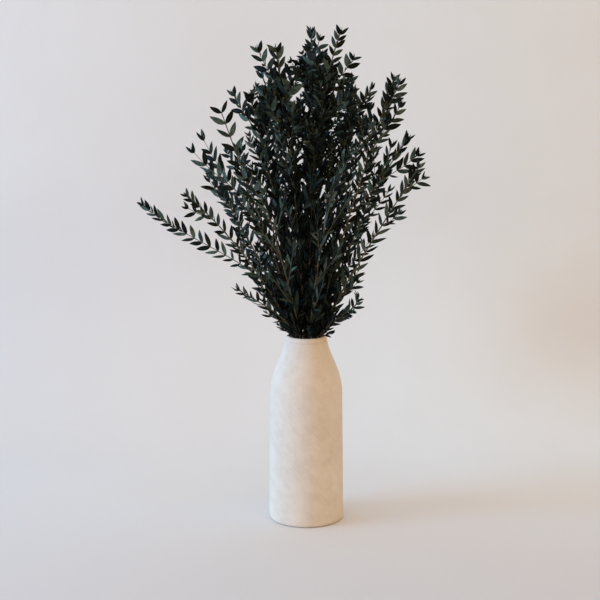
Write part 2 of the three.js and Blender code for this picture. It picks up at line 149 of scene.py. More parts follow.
# Each stem: seat angle and radius at the waist, rise before it bends, the point that pulls the bend, the
# tip, how many side sprigs, the longest of them, the leaf's length, and its forks as (share of the stem, tip)
Stem = namedtuple("Stem", "angle seat rise pull tip sprigs longest leaf forks", defaults=[()])
STEMS = {
    "front_tall": (250, 7.5, 95, (-19, -29, 509), (-38, -44, 620), 7, 82, 25,
                   [(0.78, (-55, -22, 586)), (0.8, (-20, -66, 590))]),
    "right_tall": (300, 7, 110, (-1, -17, 520), (42, -26, 642), 7, 74, 21,
                   [(0.78, (58, -8, 609)), (0.7, (55, -52, 570))]),
    "crown": (90, 3, 120, (6, 14, 521), (6, 22, 644), 7, 72, 21,
              [(0.8, (-8, 4, 602)), (0.8, (19, 40, 614))]),
    "right_fork": (350, 9.5, 50, (78, -11, 480), (110, -18, 584), 6, 74, 21,
                   [(0.7, (80, -34, 547)), (0.74, (119, -2, 549))]),
    "right_upper": (20, 8, 90, (47, 20, 476), (61, 32, 568), 6, 78, 21),
    "right_mid": (10, 14, 42, (72, 25, 424), (133, 40, 506), 6, 76, 22,
                  [(0.6, (110, 8, 497)), (0.66, (105, 70, 460))]),
    "right_low": (340, 13, 42, (102, -27, 406), (141, -42, 475), 4, 40, 21),
    "right_skirt": (320, 12.5, 48, (71, -30, 285), (66, -45, 309), 1, 28, 18),
    "left_upper": (165, 8, 90, (-51, 8, 470), (-73, 12, 562), 7, 80, 21,
                   [(0.62, (-59, 40, 534))]),
    "left_broad": (210, 9.5, 55, (-76, -32, 452), (-107, -50, 545), 3, 70, 28,
                   [(0.6, (-142, -44, 494)), (0.48, (-132, -14, 508))]),
    "left_curl": (176, 13.5, 42, (-86, 29, 394), (-128, 46, 460), 5, 68, 22),
    "left_low": (196, 13, 42, (-83, -28, 379), (-151, -44, 439), 4, 50, 20,
                 [(0.46, (-208, -36, 427))]),
    "left_skirt": (228, 12.5, 45, (-48, -43, 294), (-85, -66, 321), 2, 36, 20),
    "front_right": (285, 13, 48, (17, -76, 412), (44, -118, 490), 6, 80, 23),
    "front_left": (247, 14, 44, (-44, -72, 405), (-62, -112, 472), 5, 78, 24),
    "back_crown": (60, 8, 110, (21, 51, 495), (32, 80, 599), 8, 88, 22),
    "back_left": (125, 10, 66, (-51, 67, 466), (-41, 106, 562), 8, 85, 22),
    "back_right": (42, 13, 58, (55, 67, 444), (82, 106, 526), 6, 85, 22),
    "back_low": (95, 13.5, 50, (-8, 88, 391), (-14, 138, 458), 6, 80, 22),
    "back_side": (150, 13, 42, (-83, 63, 411), (-93, 100, 488), 5, 80, 22),
}
STEMS = {name: Stem(*row) for name, row in STEMS.items()}


def vary(n, name):
    """The n-th draw of a name, the same each time, from minus its reach to plus its reach."""
    kind, reach = DRAWS[name]
    return reach * ((n * GOLDEN + kind * SILVER) % 1 * 2 - 1)


def unit(vector):
    return vector / np.linalg.norm(vector)


def outward(angle):
    return np.array([math.cos(angle), math.sin(angle), 0.0])


def from_axis(point):
    """How far a point is from the vase's axis."""
    return math.hypot(point[0], point[1])


def bend(a, c, d, b, t):
    """A point on the curve from a to b that c and d pull."""
    return (1 - t) ** 3 * a + 3 * t * (1 - t) ** 2 * c + 3 * t * t * (1 - t) * d + t**3 * b


def square_to(way):
    """Two directions square to a way: one across the line of sight, and one that faces it most."""
    side = unit(np.cross(way, SIGHT))
    return side, np.cross(side, way)


def off_way(way, roll):
    """The direction square to a way and rolled out of the plane that faces the front."""
    side, face = square_to(way)
    return math.cos(roll) * side + math.sin(roll) * face


class Twig:
    """A stem, fork or sprig: a curve with leaves on it, which belongs to one stem."""

    def __init__(self, corners, leaf, bare, stem):
        self.corners = [np.array(c, float) for c in corners]
        self.leaf = leaf
        self.bare = bare
        self.stem = stem
        self.below = None
        self.is_small = False
        line = np.array([self.at(k / LENGTH_STEPS) for k in range(LENGTH_STEPS + 1)])
        self.length = float(np.linalg.norm(np.diff(line, axis=0), axis=1).sum())

    def at(self, t):
        return bend(*self.corners, t)

    def way(self, t):
        a, c, d, b = self.corners
        return unit((1 - t) ** 2 * (c - a) + 2 * t * (1 - t) * (d - c) + t * t * (b - d))

    def joint(self, run):
        """The point and the way at a run along the twig, or at its tip if the run is longer."""
        t = min(run / self.length, 1)
        return self.at(t), self.way(t)

    def samples(self, skip):
        """Points along the twig, past a share of it that is left out at its root."""
        count = max(3, round(self.length / SAMPLE_STEP))
        return np.array([self.at(skip + (1 - skip) * k / count) for k in range(count + 1)])


def main_stems():
    """The main stems, each from its foot on the vase's floor through the waist of the bunch to its tip."""
    stems = []
    for number, habit in enumerate(STEMS.values()):
        out = outward(math.radians(habit.angle))
        waist = out * habit.seat + UP * WAIST_Z
        corners = [waist, waist + UP * habit.rise, habit.pull, habit.tip]
        stem = Twig(corners, habit.leaf, BARE_ABOVE_WAIST, number)
        foot = out * habit.seat * FOOT_SPREAD + UP * (FLOOR_Z + FOOT_GAP)
        stem.below = (foot, waist - UP * WAIST_PULL, waist)
        stems.append(stem)
    return stems


def forks_of(stem, habit):
    """The forks of a stem, each of which bends up to its own tip."""
    made = []
    for share, tip in habit.forks:
        root = stem.at(share)
        tip = np.array(tip, float)
        reach = np.linalg.norm(tip - root)
        bent = root + (tip - root) * FORK_BEND_AT - UP * FORK_SAG * reach
        corners = [root, root + stem.way(share) * reach * FORK_PULL, bent, tip]
        made.append(Twig(corners, habit.leaf, BARE_FORK, stem.stem))
    return made


def lifted_twig(root, go, length, lift, leaf, bare, stem):
    """A twig that sets out one way and lifts from half its length on."""
    half = root + go * length / 2
    tip = half + unit(go + UP * lift) * length / 2
    corners = [root, root + go * length * SPRIG_PULL, half + (tip - half) * SPRIG_PULL, tip]
    return Twig(corners, leaf, bare, stem)


def sprig(n, stem, habit, row, twigs):
    """The n-th side sprig: of the ways it could turn round its stem, the one with the most room and light."""
    place = row + 0.5 + vary(n, "sprig_place")
    share = SPRIG_FROM + (SPRIG_TO - SPRIG_FROM) * place / habit.sprigs
    root, way = stem.at(share), stem.way(share)
    length = habit.longest * (1 - SPRIG_SHORTENS * share) * (1 + vary(n, "sprig_length"))
    angle = math.radians(SPRIG_SPREAD + vary(n, "sprig_spread"))
    own_leaf = habit.leaf * (SPRIG_LEAF + vary(n, "sprig_leaf"))
    others = np.concatenate([twig.samples(0) for twig in twigs if twig is not stem])
    best = None
    for turn in range(SPRIG_TURNS):
        roll = 2 * math.pi * (turn + vary(n, "sprig_turn")) / SPRIG_TURNS
        go = math.cos(angle) * way + math.sin(angle) * off_way(way, roll)
        made = lifted_twig(root, go, length, SPRIG_LIFT, own_leaf, BARE_SPRIG, stem.stem)
        points = made.samples(ROOM_FROM)
        room = np.linalg.norm(points[:, None] - others[None], axis=2).min()
        gained = from_axis(made.corners[3]) - from_axis(root)
        score = min(room, ROOM_ENOUGH) + OUTWARD_LIKING * gained
        if best is None or score > best[0]:
            best = (score, made)
    return best[1]


@functools.lru_cache(maxsize=1)
def grow():
    """Every twig of the bunch: the stems, then their forks, then the side sprigs row by row."""
    stems = main_stems()
    twigs = list(stems)
    for stem, habit in zip(stems, STEMS.values()):
        twigs += forks_of(stem, habit)
    n = 0
    for row in range(max(habit.sprigs for habit in STEMS.values())):
        for stem, habit in zip(stems, STEMS.values()):
            if row < habit.sprigs:
                n += 1
                twigs.append(sprig(n, stem, habit, row, twigs))
    return twigs


def pairs_of(twig, number):
    """Every leaf pair of a twig from its root up: (run, length, opening, how low it is on a main stem)."""
    step = twig.leaf * (BROAD_PAIR_STEP if twig.leaf > BROAD_LEAF else PAIR_STEP)
    leafy = twig.length - twig.bare
    count = max(2, round(leafy / step))
    pairs = []
    for k in range(count + 1):
        u = k / count
        run = twig.bare + leafy * (u + PAIRS_CROWD * u * (1 - u))
        draw = number * DRAWS_A_TWIG + k
        lowness = max(0, 1 - 2 * u) if twig.below else 0
        shape = (1 + LOW_LEAVES_GROW * lowness) * (1 - TIP_LEAVES_SHRINK * u**4)
        own = (1 + vary(draw, "leaf_length")) * (FIRST_PAIR_LENGTH if k == 0 else 1)
        opening = OPENING - OPENING_CLOSES * u * u + vary(draw, "opening")
        length = twig.leaf * shape * own
        run = min(run, twig.length * LAST_PAIR_AT)
        pairs.append((run, length, opening - LOW_LEAVES_CLOSE * lowness, lowness))
    return pairs


def roll_of(twig, number):
    """The roll of a twig's leaves out of the plane that faces the front, in degrees."""
    tip = twig.at(1)
    depth = abs(tip[1]) / (abs(tip[0]) + abs(tip[1]) + 1)
    sign = 1 if vary(number, "roll_side") > 0 else -1
    return sign * (FLANK_ROLL + DEPTH_ROLL * depth) + vary(number, "roll")


# What the scene adds to the rule: leaf pairs crosswise between the others, and small shoots

# Leaves in the core lie closer to their twig and are slimmer
CORE_TOP = 530
CORE_FADES_OVER = 140
CORE_HALF_WIDTH = 62
CORE_EDGE = 30
CORE_OPENING = 21
CORE_NARROWS = 0.2
# Those on the flanks are slimmer and shorter
FLANK_FROM = 45
FLANK_OVER = 30
FLANK_TOP = 520
FLANK_END = 125
FLANK_SLIMS = 0.27
FLANK_SHORTENS = 0.14
# Those high up are wider
HIGH_FROM = 470
HIGH_OVER = 100
HIGH_WIDENS = 0.14
# The stem of broad leaves opens them wide; they are shorter near the bunch, and its forks are full
BROAD_SHORTENS = 0.35
BROAD_FROM = 115
BROAD_OPENING = 44
BROAD_FORK_LENGTH = 0.82
BROAD_FORK_BUD = 0.8
BROAD_FORK_ROLL = 25
# The spires that stand clear at the top show their pairs flat and wide open, like ladders
SPIRE_FROM = 570
SPIRE_OVER = 40
SPIRE_FLATTENS = 0.7
SPIRE_FACES = 0.5
SPIRE_OPENS = 8
SPIRE_THINS = 0.45
# No leaf or shoot reaches through the vase's neck
LIP_CLEAR_Z = 252
LIP_CLEAR_RADIUS = 20
LIP_CHECKS = (0.25, 0.5, 0.75, 1)

# Pairs roll to and fro along a twig, more on the twigs near the middle of the picture
SIDE_REACH = 100
TURN_FROM_PAIR = 9
TURN_GROWS = 24
CROSS_LENGTH = 0.66
CROSS_ON_FLANKS_FROM = 0.6
CROSS_ROLL = 90
CROSS_CLOSES = 4
CROSS_DRAW = 5
# The two young pairs of a bud: run past the last pair, share of its length, opening, roll and draw
BUD_PAIRS = ((0.8, 0.72, 17, 90, 3), (1.4, 0.42, 9, 30, 4))

LEAST_OPENING = 9
LEAF_DROOPS = 4
UPPER_SIDE_LOOKS_UP = 25.0

SHOOT_LEAF = 0.66
SHOOT_LENGTH = 30
SHOOT_SPREAD = 30
SHOOT_BARE = 5
SHOOT_EVERY = 2
MIDDLE_FROM = 440
MIDDLE_RADIUS = 48
SHOOT_NUMBERS_FROM = 400
# How far from the middle the bunch is thick with shoots, as (height, radius)
THICK = (
    (240, 20), (262, 36), (290, 46), (320, 48), (360, 40),
    (427, 40), (490, 66), (555, 84), (600, 46), (625, 5),
)

RIM_RUNS = (24, 33, 42)
RIM_LEAF = 15
RIM_LENGTH = 28
RIM_SPREAD = 44
RIM_SPREAD_CLOSES = 12
RIM_BARE = 4
RIM_LIFT = 0.3


def clamp(value):
    return min(max(value, 0.0), 1.0)


def side_shoot(twig, run, leaf, long, spread, roll, bare, lift):
    """A small shoot that leaves a twig at a run along it."""
    root, way = twig.joint(run)
    go = unit(math.cos(spread) * way + math.sin(spread) * off_way(way, roll))
    made = lifted_twig(root, go, long, lift, leaf, bare, twig.stem)
    made.is_small = True
    return made


def in_the_thick(point):
    """Whether a point is inside the thick of the bunch."""
    heights, radii = zip(*THICK)
    return from_axis(point) < np.interp(point[2], heights, radii)


def clears_lip(root, tip):
    """Whether a leaf or shoot from a root to a tip stays off the vase's wall and lip."""
    for share in LIP_CHECKS:
        point = root + (tip - root) * share
        if point[2] < LIP_CLEAR_Z and from_axis(point) > LIP_CLEAR_RADIUS:
            return False
    return True


def joint_shoot(twig, run, long, roll, n):
    """The n-th small shoot in the thick of the bunch, out of a leaf joint."""
    spread = math.radians(SHOOT_SPREAD + vary(n, "shoot_spread"))
    reach = SHOOT_LENGTH + vary(n, "shoot_length")
    turned_to = roll + math.pi * (n % 2) + vary(n, "shoot_turn")
    return side_shoot(twig, run, long * SHOOT_LEAF, reach, spread, turned_to, SHOOT_BARE, SPRIG_LIFT)


def rim_shoot(twig, run, k, n):
    """The n-th small shoot, k-th on its main stem, which leans out over the vase's rim."""
    start = twig.at(0)
    turned_to = math.atan2(start[1], start[0]) + vary(n, "rim_turn")
    out = outward(turned_to)
    side, face = square_to(twig.joint(run)[1])
    roll = math.atan2(out @ face, out @ side)
    spread = math.radians(RIM_SPREAD - RIM_SPREAD_CLOSES * k + vary(n, "rim_spread"))
    leaf = RIM_LEAF + vary(n, "rim_leaf")
    return side_shoot(twig, run, leaf, RIM_LENGTH, spread, roll, RIM_BARE, RIM_LIFT)


@functools.lru_cache(maxsize=1)
def dress():
    """Every twig of the bunch with the small shoots, as (number, twig)."""
    twigs = list(enumerate(grow()))
    shoots = []
    n = SHOOT_NUMBERS_FROM
    for number, twig in twigs:
        roll = math.radians(roll_of(twig, number))
        for k, (run, long, _, _) in enumerate(pairs_of(twig, number)[:-1]):
            point = twig.joint(run)[0]
            is_middle = point[2] > MIDDLE_FROM and from_axis(point) < MIDDLE_RADIUS
            if (k + number) % SHOOT_EVERY and not is_middle:
                continue
            n += 1
            made = joint_shoot(twig, run, long, roll, n)
            if in_the_thick(made.at(1)) and clears_lip(made.at(0), made.at(1)):
                shoots.append((n, made))
        if twig.below:
            for k, run in enumerate(RIM_RUNS):
                n += 1
                made = rim_shoot(twig, run, k, n)
                if clears_lip(made.at(0), made.at(1)):
                    shoots.append((n, made))
    return twigs + shoots


# Sizes and colours a user would change


def setting(name, description, default, **kind):
    return bpy.props.FloatProperty(name=name, description=description, default=default, **kind)


def as_length(name, description, default):
    return setting(name, description, default, unit="LENGTH", precision=5)


def as_share(name, description, default):
    return setting(name, description, default, subtype="FACTOR")


def as_angle(name, description, degrees):
    return setting(name, description, math.radians(degrees), subtype="ANGLE")


def as_strength(name, description, default):
    return setting(name, description, default, min=0)


def as_colour(name, description, default):
    return bpy.props.FloatVectorProperty(
        name=name, description=description, default=default, subtype="COLOR", size=3, min=0, max=1
    )


class VaseSettings(bpy.types.PropertyGroup):
    """Sizes and finish of the bottle vase."""

    height: as_length("Height", "From the table to the top of the lip", VASE_TOP)
    foot_radius: as_length("Foot radius", "Radius of the flat underside", 0.0465)
    body_radius: as_length("Body radius", "Radius just above the foot", 0.0501)
    shoulder_radius: as_length("Shoulder radius", "Radius where the shoulder starts", 0.0479)
    shoulder_height: as_length("Shoulder height", "Where the straight wall ends", 0.168)
    mouth_radius: as_length("Mouth radius", "Outer radius of the lip", 0.0265)
    bore_radius: as_length("Bore radius", "Inner radius of the neck", 0.0228)
    wall: as_length("Wall", "Thickness of the wall", 0.0048)
    floor_height: as_length("Floor", "Height of the floor inside", 0.008)
    clay: as_colour("Clay", "The bare matte clay", (0.80, 0.778, 0.735))
    stain: as_colour("Stain", "The warmer clay of the mottling", (0.70, 0.658, 0.6))
    roughness: as_share("Roughness", "How matte the clay is", 0.82)


class BunchSettings(bpy.types.PropertyGroup):
    """Sizes and colours of the stems and leaves."""

    stem_radius: as_length("Stem radius", "Radius of a main stem at its foot", 0.00145)
    stem_tip_radius: as_length("Stem tip radius", "Radius of a main stem near its tip", 0.0006)
    sprig_radius: as_length("Sprig radius", "Radius of a side sprig at its root", 0.00058)
    sprig_tip_radius: as_length("Sprig tip radius", "Radius of a side sprig at its tip", 0.0003)
    leaf_width: as_share("Leaf width", "Width of a leaf as a share of its length", 0.32)
    widest_at: as_share("Widest at", "Where a leaf is widest, from its base", 0.43)
    leaf_thickness: as_length("Leaf thickness", "Thickness of a leaf at its midrib", 0.0005)
    fold: as_angle("Fold", "How far each half of a leaf is folded up from flat", 17)
    arch: as_share("Arch", "How far a leaf's tip bends back, as a share of its length", 0.09)
    # The darkest leaves' own colour, which is also laid on as painted shade deep inside the bunch
    leaf_dark_and_shade: as_colour("Dark leaf", "The darkest leaves", (0.0008, 0.0016, 0.0017))
    # The palest leaves' own colour, which also serves as their painted sheen
    leaf_pale_and_sheen: as_colour("Green leaf", "The palest leaves", (0.098, 0.155, 0.14))
    leaf_bloom: as_colour("Bloom", "The waxy grey-blue cast of the big low leaves", (0.024, 0.043, 0.046))
    leaf_under: as_colour("Leaf underside", "The paler underside of a leaf", (0.017, 0.027, 0.026))
    leaf_vein: as_colour("Leaf vein", "The midrib and side veins", (0.05, 0.062, 0.04))
    bark: as_colour("Bark", "The tan skin of the stems", (0.108, 0.096, 0.058))
    bark_young: as_colour("Young bark", "The greener skin of the sprigs", (0.046, 0.047, 0.029))


class StageSettings(bpy.types.PropertyGroup):
    """Floor, backdrop, lights and camera."""

    paper: as_colour("Paper", "Floor and backdrop", (0.79, 0.80, 0.815))
    # Painted cool light on the backdrop behind and right of the vase
    paper_cool_light: as_colour("Cool paper", "Backdrop behind and right of the vase", (0.81, 0.87, 0.92))
    # Painted shade on the floor towards the camera and the left edge
    paper_shade: as_colour("Near paper", "Floor towards the camera and the left edge", (0.665, 0.68, 0.72))
    # Painted shadow of the foliage on the backdrop, and the paper's faint fibre mottling
    paper_fibre_and_shadow: as_colour("Dull paper", "A duller patch of the backdrop at the right", (0.71, 0.69, 0.67))
    paper_bend: as_length("Backdrop distance", "From the vase to the foot of the backdrop", 0.42)
    room_colour: as_colour("Room light", "The warm light from all round", (1.0, 0.564, 0.198))
    room_strength: as_strength("Room strength", "Strength of the room light", 0.883)
    room_plaster: as_colour("Room plaster", "What is seen past the floor and backdrop", (0.68, 0.67, 0.66))
    window_colour: as_colour("Window light", "The cool soft light from the left", (0.25, 0.624, 1.0))
    window_power: as_strength("Window power", "Power of the window light", 54.5)
    ceiling_colour: as_colour("Ceiling light", "The cool soft light from above", (0.139, 0.612, 1.0))
    ceiling_power: as_strength("Ceiling power", "Power of the ceiling light", 19.0)


# Shader maths


def maths(operation, is_reflected=False):
    """A sum on values as a method, which adds its Math node."""

    def apply(*inputs):
        ordered = inputs[::-1] if is_reflected else inputs
        return inputs[0].graph.add("ShaderNodeMath", {"operation": operation}, dict(enumerate(ordered)))

    return apply


class Value:
    """A node's output that takes part in sums as a number does."""

    def __init__(self, graph, socket):
        self.graph = graph
        self.socket = socket

    __add__ = __radd__ = maths("ADD")
    __sub__ = maths("SUBTRACT")
    __rsub__ = maths("SUBTRACT", is_reflected=True)
    __mul__ = __rmul__ = maths("MULTIPLY")
    __pow__ = maths("POWER")
    __abs__ = maths("ABSOLUTE")
    sine = maths("SINE")

    def part(self, axis):
        """One coordinate of a vector: X, Y or Z."""
        return self.graph.add("ShaderNodeSeparateXYZ", {}, {"Vector": self}, axis)

    def off_axis(self):
        """How far a place is from the vase's axis."""
        return (self.part("X") ** 2 + self.part("Y") ** 2) ** 0.5

    def fade(self, start, end, low=0.0, high=1.0):
        """From low to high as this value goes from start to end, smooth at both ends."""
        sockets = {"Value": self, "From Min": start, "From Max": end, "To Min": low, "To Max": high}
        return self.graph.add("ShaderNodeMapRange", {"interpolation_type": "SMOOTHSTEP"}, sockets)


class Graph:
    """The nodes of one material, or of the world."""

    def __init__(self, owner):
        owner.use_nodes = True
        self.owner = owner
        self.tree = owner.node_tree
        self.tree.nodes.clear()

    def add(self, kind, settings, sockets, output=0):
        """A node with its settings made first and its sockets filled with values or links."""
        node = self.tree.nodes.new(kind)
        for name, value in settings.items():
            setattr(node, name, value)
        for name, value in sockets.items():
            socket = self._find(node.inputs, name)
            if isinstance(value, Value):
                self.tree.links.new(value.socket, socket)
            else:
                is_colour = socket.type == "RGBA" and len(value) == 3
                socket.default_value = (*value, 1) if is_colour else value
        return Value(self, self._find(node.outputs, output)) if len(node.outputs) else None

    @staticmethod
    def _find(sockets, name):
        if isinstance(name, int):
            return sockets[name]
        return next(s for s in sockets if name in (s.identifier, s.name))

    def mix(self, factor, first, second):
        """A colour that goes from the first to the second as the factor goes from 0 to 1."""
        sockets = {"Factor_Float": factor, "A_Color": first, "B_Color": second}
        return self.add("ShaderNodeMix", {"data_type": "RGBA"}, sockets, "Result_Color")

    def noise(self, place, scale, detail, roughness):
        sockets = {"Vector": place, "Scale": scale, "Detail": detail, "Roughness": roughness}
        return self.add("ShaderNodeTexNoise", {}, sockets)

    def place(self):
        """A point's place in the frame."""
        return self.add("ShaderNodeTexCoord", {}, {}, "Object")

    def attribute(self, name, output="Vector"):
        return self.add("ShaderNodeAttribute", {"attribute_name": name}, {}, output)

    def stretched(self, place, scale):
        """A place with its axes scaled apart, so that what is drawn on it runs in streaks."""
        return self.add("ShaderNodeVectorMath", {"operation": "MULTIPLY"}, {0: place, 1: scale})

    def bump(self, height, distance, strength):
        sockets = {"Height": height, "Distance": distance, "Strength": strength}
        return self.add("ShaderNodeBump", {}, sockets)

    def surface(self, sockets):
        shader = self.add("ShaderNodeBsdfPrincipled", {}, sockets)
        self.add("ShaderNodeOutputMaterial", {}, {"Surface": shader})
        return self.owner


def new_graph(name):
    return Graph(bpy.data.materials.new(name))


def clay_material(vase):
    """Matte unglazed clay: soft mottling, slanting brush marks, fine grain and painted shade in the groove
    under the lip.
    """
    graph = new_graph("matte_clay")
    place = graph.place()
    height = place.part("Z")
    # The place turned round the vase's axis as it rises, so that marks drawn along Z run slantwise round it
    sockets = {"Vector": place, "Angle": height * 18.0}
    slant = graph.add("ShaderNodeVectorRotate", {"rotation_type": "Z_AXIS"}, sockets)
    marks = graph.noise(graph.stretched(slant, (1.0, 1.0, 0.07)), 620.0, 4.0, 0.65)
    patches = graph.noise(place, 24.0, 3.0, 0.55)
    wipes = height.fade(0.03, 0.1) * height.fade(0.1, 0.2, 1.0, 0.25)
    mottle = graph.noise(place, 75.0, 5.0, 0.6)
    grain = graph.noise(place, 1500.0, 2.0, 0.6)
    brushed = marks.fade(0.5, 0.64) * (patches.fade(0.36, 0.56) * 0.6 + wipes * 0.4)
    stained = mottle.fade(0.36, 0.72, 0.0, 0.5) + patches.fade(0.35, 0.7, 0.0, 0.35)
    tone = graph.mix(stained, vase.clay, vase.stain)
    tone = graph.mix(brushed * 0.34, tone, (0.60, 0.56, 0.52))
    # Painted shade: a thin dark band along the groove under the lip
    ring = abs(height - (VASE_TOP - GROOVE_BELOW_LIP * MM)).fade(0.0003, 0.0018, 1.0, 0.0)
    tone = graph.mix(ring * 0.24, tone, (0.50, 0.43, 0.36))
    relief = marks.fade(0.35, 0.7) * 0.8 + mottle * 0.6 + grain * 0.25
    return graph.surface({
        "Base Color": tone,
        "Roughness": vase.roughness + (grain - 0.5) * 0.12,
        "Normal": graph.bump(relief, 0.00035, 0.55),
    })


def leaf_material(bunch):
    """Preserved leaf: near-black green with a satin skin, a pale midrib, fine side veins and a waxy bloom,
    plus painted sheen on the paler leaves and painted shade deep inside the bunch.
    """
    graph = new_graph("preserved_leaf")
    spot = graph.attribute("leaf")
    across, along, tone = spot.part("X"), spot.part("Y"), spot.part("Z")
    under = graph.attribute("under", "Fac")
    bloom = graph.attribute("bloom", "Fac")
    place = graph.place()
    cloud = graph.noise(place, 260.0, 3.0, 0.6)
    grain = graph.noise(place, 2600.0, 2.0, 0.5)
    off_rib = abs(across)
    midrib = off_rib.fade(0.05, 0.16, 1.0, 0.0)
    wave = (along * 95.0 - off_rib * 22.0).sine()
    side_veins = wave.fade(0.82, 1.0) * off_rib.fade(0.1, 0.3)
    # Painted sheen: the leaves' own random tone, sharpened by a power and broken up by noise, lightens the
    # base colour towards the palest green in place of satin highlights
    sheen = tone.fade(-1.0, 1.0) ** 2.8 * cloud.fade(0.3, 0.68, 0.35, 1.25)
    green = graph.mix(sheen, bunch.leaf_dark_and_shade, bunch.leaf_pale_and_sheen)
    waxy = graph.mix(bloom * 0.22 + cloud.fade(0.45, 0.8, 0.0, 0.14), green, bunch.leaf_bloom)
    paler = graph.mix(under * 0.25, waxy, bunch.leaf_under)
    veined = graph.mix(midrib * 0.35 + side_veins * 0.1, paler, bunch.leaf_vein)
    # Painted shade: leaves deep inside the bunch, near the axis and low down, are darkened towards the dark
    # leaf colour
    inside = place.off_axis().fade(0.02, 0.08, 0.8, 0.0) * place.part("Z").fade(0.45, 0.58, 1.0, 0.15)
    shaded = graph.mix(inside, veined, bunch.leaf_dark_and_shade)
    relief = midrib * 0.6 + side_veins * 0.3 + grain * 0.2
    return graph.surface({
        "Base Color": shaded,
        "Roughness": 0.36 + (cloud - 0.5) * 0.3 + under * 0.16,
        "Specular IOR Level": 0.1,
        "Specular Tint": (0.6, 0.88, 1.0),
        "Normal": graph.bump(relief, 0.00012, 0.8),
    })


def bark_material(bunch):
    """Thin khaki bark with dark streaks along the stem and pale blotches, with painted shade that darkens it
    deep inside the bunch.
    """
    graph = new_graph("thin_bark")
    skin = graph.attribute("bark")
    young = graph.attribute("young", "Fac")
    streaks = graph.noise(graph.stretched(skin, (1.0, 1.0, 0.12)), 900.0, 3.0, 0.6)
    blotches = graph.noise(skin, 170.0, 2.0, 0.5)
    khaki = graph.mix(young, bunch.bark, bunch.bark_young)
    place = graph.place()
    # Painted shade: bark deep inside the bunch, near the axis and away from the front, is darkened almost to
    # black
    inside = place.off_axis().fade(0.02, 0.07, 0.8, 0.0) * place.part("Y").fade(-0.05, -0.015)
    khaki = graph.mix(inside, khaki, (0.012, 0.011, 0.008))
    shaded = graph.mix(streaks.fade(0.35, 0.7) * 0.5, khaki, (0.054, 0.048, 0.03))
    dusty = graph.mix(blotches.fade(0.5, 0.8) * 0.4, shaded, (0.27, 0.24, 0.155))
    return graph.surface({
        "Base Color": dusty,
        "Roughness": 0.62 + (streaks - 0.5) * 0.3,
        "Normal": graph.bump(streaks, 0.0002, 0.7),
    })


def paper_material(stage):
    """Smooth matte paper of the floor and backdrop, with faint fibre mottling, painted shade on the near
    floor and left edge, painted cool light behind and right of the vase, and a painted shadow of the foliage
    at the right.
    """
    graph = new_graph("matte_paper")
    place = graph.place()
    right, back, height = place.part("X"), place.part("Y"), place.part("Z")
    fibre = graph.noise(place, 6.0, 3.0, 0.55)
    # Painted shade: the floor towards the camera and the low left edge are darkened towards the shade colour
    front_shade = back.fade(-0.35, 0.2, 1.0, 0.0)
    left_shade = right.fade(-0.55, -0.1, 1.0, 0.0) * height.fade(0.45, 0.2)
    # Painted cool light: the backdrop behind and right of the vase is tinted paler and bluer
    cool_light = right.fade(-0.2, 0.2) * back.fade(0.0, 0.4)
    # Painted shadow: a soft blob on the backdrop at the right, where the foliage's shadow falls
    patch = (abs(right - 0.5) * 3.4).fade(0.0, 1.0, 1.0, 0.0)
    patch = patch * (abs(height - 0.15) * 5.0).fade(0.0, 1.0, 1.0, 0.0)
    tone = graph.mix(cool_light, stage.paper, stage.paper_cool_light)
    tone = graph.mix(front_shade, tone, stage.paper_shade)
    tone = graph.mix(left_shade * 0.6, tone, stage.paper_shade)
    # The dull colour is laid on as the painted foliage shadow and as the paper's faint fibre mottling
    tone = graph.mix(patch * 0.7 + fibre.fade(0.3, 0.7) * 0.12, tone, stage.paper_fibre_and_shadow)
    # The eye, though not the light, passes through the back of the backdrop and paper far from the vase
    behind = graph.add("ShaderNodeNewGeometry", {}, {}, "Backfacing")
    seen = graph.add("ShaderNodeLightPath", {}, {}, "Is Camera Ray")
    far = place.off_axis().fade(0.92, 1.7)
    solid = 1 - seen * (behind + far - behind * far)
    return graph.surface({"Base Color": tone, "Roughness": 0.9, "Specular IOR Level": 0.2, "Alpha": solid})


# Pieces


def walls(sides, rings, start=0):
    """The four-sided faces between rings of corner points that are numbered one after another."""
    for k in range(sides):
        n = (k + 1) % sides
        for low in range(start, start + (rings - 1) * sides, sides):
            yield (low + k, low + n, low + sides + n, low + sides + k)


def cap(sides, middle, ring, is_first):
    """The three-sided faces from a point to the first or the last ring."""
    for k in range(sides):
        n = (k + 1) % sides
        yield (middle, ring + n, ring + k) if is_first else (middle, ring + k, ring + n)


def add_object(name, data):
    made = bpy.data.objects.new(name, data)
    bpy.context.scene.collection.objects.link(made)
    return made


def add_mesh(name, vertices, faces, material):
    mesh = bpy.data.meshes.new(name)
    mesh.from_pydata(np.asarray(vertices).tolist(), [], faces)
    mesh.validate()
    mesh.shade_smooth()
    mesh.materials.append(material)
    return add_object(name, mesh)


def add_values(piece, **layers):
    """Values or vectors at each corner point of a piece, which its material reads by name."""
    for name, values in layers.items():
        kind, field = ("FLOAT_VECTOR", "vector") if values.ndim == 2 else ("FLOAT", "value")
        layer = piece.data.attributes.new(name, kind, "POINT")
        layer.data.foreach_set(field, np.asarray(values, np.float32).ravel())


def stand_in(piece, nodes):
    """The piece rides on the part and is shown instead of the solids."""
    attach(piece, "root")
    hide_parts(*nodes)


# The vase's finer shape

VASE_SIDES = 160
UNDERSIDE_MARGIN = 2
FOOT_ROUNDING = 5
FOOT_STEPS = 8
WALL_STEPS = 16
SHOULDER_PULL_Z = 208.5
NECK_PULL = (31.3, 215.5)
NECK_STEPS = 32
NECK_WAY_STEP = 0.01
LIP_FROM_TOP = 2.2
LIP_STEP = 15
GROOVE_BELOW_LIP = 6.2
GROOVE_DEPTH = 0.22
GROOVE_HALF_WIDTH = 0.7
INSIDE_FROM_TOP = 4
FLOOR_ROUNDING = 6
FLOOR_ROUNDING_MIDDLE = 1.8
